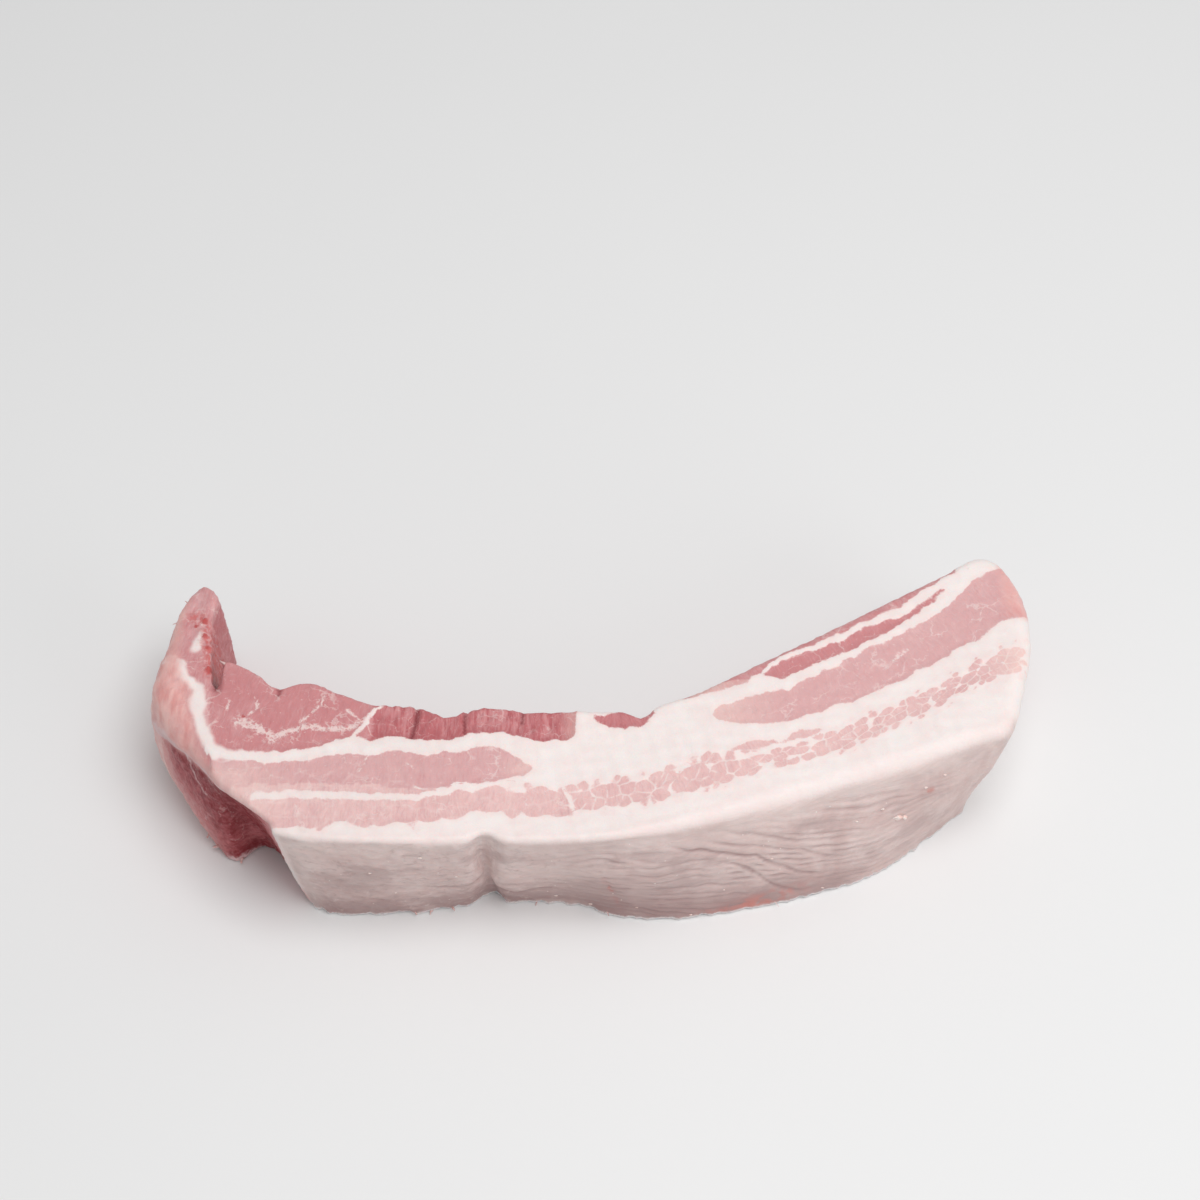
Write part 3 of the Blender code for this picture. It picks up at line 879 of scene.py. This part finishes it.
def lean_colour(n):
    """Meat from pale to dark red, with painted shade in its clefts, its threads of fat with painted glints,
    and its pale ends.
    """
    shade = n.plus(n.tone, n.swing(n.grain(0.09, 3.0, 0.55), 0.4))
    shade = n.plus(shade, n.swing(n.fibre, 0.5))
    wall_grain = n.grain(1.0, 3.0, 0.6, (0.4, 0.5, 0.6), (0.1, 3.0))
    shade = n.plus(shade, n.times(n.attribute("end_wall"), n.line(wall_grain, 0.9, -0.5)))
    cross_grain = n.line(n.grain(1.0, 3.0, 0.6, (0.8, 0.12, 0.15)), 2.0, -1.1)
    shade = n.line(n.attribute("bundles"), cross_grain, shade)
    fewer_in_dark = n.ramp(n.tone, 1.3, 0.7, 0.35, 0.9)
    return n.coated(srgb(233, 196, 193), [
        (n.ramp(shade, 0.1, 0.45), (219, 172, 172)),
        (n.ramp(shade, 0.45, 0.78), (205, 138, 140)),
        (n.ramp(shade, 0.78, 1.1), (186, 104, 108)),
        (n.ramp(shade, 1.1, 1.7), (134, 38, 46)),
        # Painted shade in the clefts and the slit.
        (n.times(n.attribute("cleft"), 0.8), (128, 44, 50)),
        (n.times(threads(n), fewer_in_dark), (240, 220, 216)),
        (n.times(n.attribute("pale"), 0.8), (242, 214, 206)),
    ])


def fat_colour(n, inside):
    """Fat, pinker beside the lean and beside the rind."""
    to_rind = n.line(n.wobble, 4.0, n.math("SUBTRACT", n.rind, 2.0))
    return n.coated(srgb(242, 232, 229), [
        (n.ramp(n.grain(0.1), 0.35, 0.75), (240, 226, 223)),
        (n.times(n.ramp(inside, -2.4, 0.0), 0.45), (241, 217, 213)),
        (n.ramp(to_rind, -4.0, 1.5, 0.0, 0.4), (235, 214, 210)),
    ])


def covered(n, body):
    """The meat with its membrane, blood, torn edge and silver skin over it."""
    tint = n.ramp(n.grain(0.7, 3.0, 0.5, (0.4, 0.12, 0.3)), 0.35, 0.7)
    membrane = n.mix(tint, srgb(238, 192, 186), srgb(226, 161, 156))
    film = n.times(n.attribute("film"), n.ramp(n.grain(0.25, 2.0), 0.2, 0.6, 0.55, 0.95))
    torn = n.times(n.attribute("torn"), n.ramp(n.grain(0.6, 3.0, 0.6), 0.38, 0.6))
    silver = n.line(n.fine, 0.7, n.line(n.grain(0.3, 2.0), 0.9, n.attribute("silver")))
    return n.coated(n.mix(film, body, membrane), [
        (n.ramp(n.line(n.fine, 0.6, n.attribute("blood")), 0.6, 1.1, 0.0, 0.85), (178, 66, 66)),
        (n.times(torn, 0.7), (200, 92, 88)),
        (n.ramp(silver, 0.95, 1.5, 0.0, 0.8), (226, 198, 199)),
    ])


def hide_colour(n):
    """Rind: painted shade low down, less of it towards the teat end and partly a browner rind, and painted
    shade in its folds; scuffed, with a paler upper edge and a whitish foot.
    """
    # Painted shade: darker towards the foot of the rind, less so towards the teat end; partly also a browner
    # rind low down.
    foot_shade = n.line(n.grain(0.05, 2.0), 22.0, n.attribute("shade_height"))
    # Painted shade in the valleys of the folds and along the fine lines of the rind.
    fold_shade = n.line(n.lines, 0.7, n.times(n.attribute("ripple"), 0.7))
    scuffs = n.grain(1.0, 5.0, 0.68, (0.26, 0.5, 0.5), (0.12, 6.0))
    rough_skin = n.attribute("rough_skin")
    clouds = n.grain(1.0, 4.0, 0.6, (0.045, 0.1, 0.09))
    foot = n.plus(n.attribute("foot"), n.swing(n.fine, 1.6))
    return n.coated(srgb(225, 205, 201), [
        (n.ramp(n.grain(1.0, 4.0, 0.6, (0.03, 1.0, 0.08)), 0.3, 0.7), (210, 185, 181)),
        (n.ramp(foot_shade, 8.0, 44.0, 0.92, 0.0), (171, 142, 140)),
        (n.ramp(foot_shade, 10.0, 30.0, 0.3, 0.0), (144, 114, 113)),
        (n.ramp(fold_shade, 0.45, 1.25, 0.0, 0.85), (168, 138, 136)),
        (n.times(n.ramp(scuffs, 0.5, 0.72), n.line(rough_skin, 0.38, 0.12)), (164, 138, 136)),
        (n.times(n.ramp(scuffs, 0.46, 0.3), n.line(rough_skin, 0.4, 0.1)), (228, 210, 206)),
        (n.ramp(clouds, 0.5, 0.66, 0.0, 0.45), (176, 152, 150)),
        (n.ramp(clouds, 0.48, 0.34, 0.0, 0.35), (226, 202, 197)),
        (n.ramp(n.pores, 0.0, 0.16, 0.22, 0.0), (170, 138, 132)),
        (n.ramp(n.voronoi(n.strip, 0.22), 0.03, 0.07, 0.7, 0.0), (246, 238, 232)),
        (n.times(n.attribute("bruise"), n.ramp(n.grain(0.3), 0.35, 0.62)), (205, 138, 130)),
        (n.ramp(n.rind, 1.0, 11.0, 0.32, 0.0), (236, 222, 217)),
        (n.ramp(foot, 1.2, 2.4, 0.9, 0.0), (243, 238, 238)),
    ])


def bumps(n, is_lean):
    """Fine relief: fibres and grain on the meat, lines and pores on the rind."""
    meat = n.times(n.fibre, n.line(is_lean, 0.5, 0.15))
    meat = n.plus(meat, n.times(is_lean, -0.25))
    meat = n.plus(meat, n.times(n.grain(1.3, 3.0, 0.6), 0.35))
    hide = n.plus(n.times(n.lines, -0.7), n.times(n.ramp(n.pores, 0.0, 0.2), 0.12))
    choice = {0: n.ramp(n.rind, 0.0, 2.0), 2: meat, 3: hide}
    height = n.fill(n.add("ShaderNodeMix", data_type="FLOAT"), choice).outputs[0]
    inputs = {"Strength": 0.55, "Distance": 0.0006, "Height": height}
    return n.fill(n.add("ShaderNodeBump"), inputs).outputs[0]


def belly_material():
    n = BellyNodes()
    inside = into_lean(n)
    softness = n.line(n.calm, 0.6, 0.35)
    is_lean = n.ramp(inside, n.times(softness, -1.0), softness)
    is_rind = n.ramp(n.plus(n.rind, n.swing(n.fine, 1.6)), -1.2, 2.2)
    body = covered(n, n.mix(is_lean, fat_colour(n, inside), lean_colour(n)))
    moist = n.ramp(n.grain(0.5, 3.0, 0.6), 0.3, 0.7, 0.34, 0.55)
    return n.finish({
        "Base Color": n.mix(is_rind, body, hide_colour(n)),
        "Roughness": n.plus(moist, n.times(is_rind, 0.12)),
        "IOR": 1.42,
        "Specular IOR Level": 0.36,
        "Subsurface Weight": 0.22,
        "Subsurface Radius": (1.0, 0.45, 0.35),
        "Subsurface Scale": 0.003,
        "Normal": bumps(n, is_lean),
    })


mesh.materials.append(belly_material())

# ------------------------------ crumbs and shreds

# Bits of fat stuck to the rind: x, z, size.
CRUMBS = [
    (98.5, 26.0, 1.25), (100.6, 25.0, 0.8), (96.8, 26.8, 0.6), (92.4, 32.0, 0.5), (84, 30.6, 0.4),
    (56, 24, 0.35), (41, 13.4, 0.3), (107, 35.6, 0.5), (112, 38.4, 0.45), (-58, 39.6, 0.45), (-74, 31, 0.4),
    (-46, 26.6, 0.35), (12, 7.0, 0.35), (-3, 4.0, 0.5), (30, 2.6, 0.4), (74, 3.4, 0.35), (-66, 18, 0.3),
    (-14, 6.5, 0.4),
]
# Shreds of membrane and frayed edge: x, y, z near the root, length, slant along the wall, half width.
SHREDS = [
    (-125.4, -45.6, 46.0, 2.6, 0.6, 0.8),
    (-144.0, -24.0, 40.0, 2.0, 0.9, 0.5),
    (-141.0, -17.0, 41.0, 1.7, -0.6, 0.5),
    (-146.0, -40.0, 26.0, 1.6, 0.8, 0.6),
    (-136.0, -88.0, 1.6, 2.0, 0.8, 0.9),
    (-131.0, -93.0, 2.6, 2.2, -0.6, 1.0),
    (-116.0, -100.0, 1.6, 1.8, 0.5, 0.9),
    (-62.0, -117.0, 1.2, 1.5, 0.9, 0.7),
    (-55.0, -117.0, 1.4, 1.8, -0.8, 0.8),
    (-47.0, -117.0, 1.0, 1.6, 0.7, 0.7),
    (-20.0, -111.0, 1.0, 1.4, -0.6, 0.6),
    (2.0, -116.0, 1.4, 1.8, 0.9, 0.5),
    (57.0, -111.0, 2.0, 2.6, 0.5, 0.22),
]
SHRED_RINGS = 9


def wall_point(place_x, place_z):
    """The point of the rind at x and z, and the way out of the wall there."""
    on_wall = np.where(rind[:wall_n] > 0.0)[0]
    away = np.hypot(x[on_wall] - place_x, z[on_wall] - place_z)
    n = on_wall[int(np.argmin(away))]
    return places[n], normal[n]


def crumb_mesh():
    """Lumpy bits of fat, half sunk in the rind."""
    bm = bmesh.new()
    for number, (place_x, place_z, size) in enumerate(CRUMBS):
        middle_point, way = wall_point(place_x, place_z)
        ball = bmesh.ops.create_icosphere(bm, subdivisions=3, radius=1.0)["verts"]
        corners = np.array([v.co for v in ball])
        lumps = 1 + 0.25 * waves(3 * corners[:, 0] + number, 3 * corners[:, 2], 6.0, 80 + number)
        stretched = corners * lumps[:, None] * [1.3 * size, 0.7 * size, 0.8 * size]
        for v, place in zip(ball, stretched + middle_point + 0.15 * size * way):
            v.co = (place + SHIFT) * MM
    return bm


def shred_mesh():
    """Thin tapered flaps that stand out of the wall, each with a little curl."""
    bm = bmesh.new()
    for *near_root, length, slant, half in SHREDS:
        n = int(np.argmin(np.linalg.norm(places[:wall_n] - near_root, axis=1)))
        along_wall = np.array([-normal[n][1], normal[n][0], 0.0])
        root = places[n] - 0.8 * normal[n]
        tip = places[n] + length * (normal[n] + slant * along_wall) / math.hypot(1.0, slant) + [0.0, 0.0, 0.2]
        tip[2] = max(tip[2], 0.4)
        rings = []
        for share in np.linspace(0.0, 1.0, SHRED_RINGS):
            curl = math.sin(math.pi * share)
            centre_point = root + (tip - root) * share + [0.0, 0.0, 0.3 * curl]
            width = half * (1 - 0.7 * share) * (1 + 0.25 * math.sin(9 * share + half * 20))
            thick = 0.2 * (1 - 0.5 * share)
            side, rise = along_wall * width, np.array([0, 0, thick])
            corners = [(centre_point + offset + SHIFT) * MM for offset in (side, rise, -side, -rise)]
            rings.append([bm.verts.new(corner) for corner in corners])
        for a, b in zip(rings, rings[1:]):
            for this, other in ((0, 1), (1, 2), (2, 3), (3, 0)):
                bm.faces.new([a[this], a[other], b[other], b[this]])
        bm.faces.new(rings[0][::-1])
        bm.faces.new(rings[-1])
    bmesh.ops.recalc_face_normals(bm, faces=bm.faces)
    return bm


def bits_material(name, light, dark):
    """Two tones of fat or membrane, mottled and moist."""
    n = Nodes(name)
    coords = n.add("ShaderNodeTexCoord").outputs["Object"]
    return n.finish({
        "Base Color": n.mix(n.ramp(n.noise(coords, 700.0), 0.35, 0.65), light, dark),
        "Roughness": n.ramp(n.noise(coords, 1500.0), 0.3, 0.7, 0.35, 0.55),
        "Subsurface Weight": 0.2,
        "Subsurface Radius": (1.0, 0.5, 0.4),
        "Subsurface Scale": 0.001,
    })


def add_bits(name, bm, material):
    data = bpy.data.meshes.new(name)
    bm.to_mesh(data)
    bm.free()
    data.shade_smooth()
    data.materials.append(material)
    piece = put_in_scene(name, data)
    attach(piece, "root")


add_bits("fat_crumbs", crumb_mesh(), bits_material("crumb_fat", srgb(243, 228, 222), srgb(232, 200, 192)))
add_bits("shreds", shred_mesh(), bits_material("membrane", srgb(236, 208, 204), srgb(216, 168, 164)))

# ------------------------------ floor, light and camera


def floor_material():
    n = Nodes("pale_floor")
    coords = n.add("ShaderNodeTexCoord").outputs["Object"]
    patches = n.mix(n.noise(coords, 3.0), (0.80, 0.80, 0.80, 1), (0.83, 0.83, 0.83, 1))
    return n.finish({"Base Color": patches, "Roughness": 0.6})


REACH = 4.0
floor_corners = [(-REACH, -REACH, 0), (REACH, -REACH, 0), (REACH, REACH, 0), (-REACH, REACH, 0)]
floor_mesh = bpy.data.meshes.new("floor")
floor_mesh.from_pydata(floor_corners, [], [(0, 1, 2, 3)])
floor_mesh.materials.append(floor_material())
floor = put_in_scene("floor", floor_mesh)

world = bpy.data.worlds.new("studio")
bpy.context.scene.world = world
world.use_nodes = True
sky = world.node_tree.nodes["Background"]
sky.inputs[0].default_value = (1.0, 1.0, 1.0, 1.0)
sky.inputs[1].default_value = 0.45


def softbox(name, place, aim, size, power):
    """A square area light that looks from its place to its aim."""
    light = bpy.data.lights.new(name, "AREA")
    light.shape = "SQUARE"
    light.size = size
    light.energy = power
    lamp = put_in_scene(name, light)
    lamp.location = place
    run = [b - a for a, b in zip(place, aim)]
    level_run = math.hypot(run[0], run[1])
    lamp.rotation_euler = (math.atan2(level_run, -run[2]), 0.0, math.atan2(run[1], run[0]) - math.pi / 2)


softbox("key", (0.35, -0.20, 1.5), (0.0, 0.0, 0.0), 1.0, 14.4)
softbox("fill", (1.3, -1.1, 0.7), (0.0, 0.0, 0.02), 0.9, 4.0)

# The camera looks down at 52 degrees on a point 22 mm above the origin of the drawing.
AIM = np.array([0.0, 0.0, 22.0]) + SHIFT
DISTANCE = 915.0
PITCH = math.radians(52.0)
camera_data = bpy.data.cameras.new("camera")
camera_data.lens = 78.0
camera_data.sensor_width = 36.0
camera_data.clip_start = 0.01
camera = put_in_scene("camera", camera_data)
camera.location = (AIM + DISTANCE * np.array([0.0, -math.cos(PITCH), math.sin(PITCH)])) * MM
camera.rotation_euler = (math.pi / 2 - PITCH, 0.0, 0.0)
bpy.context.scene.camera = camera
bpy.context.scene.view_settings.view_transform = "Standard"
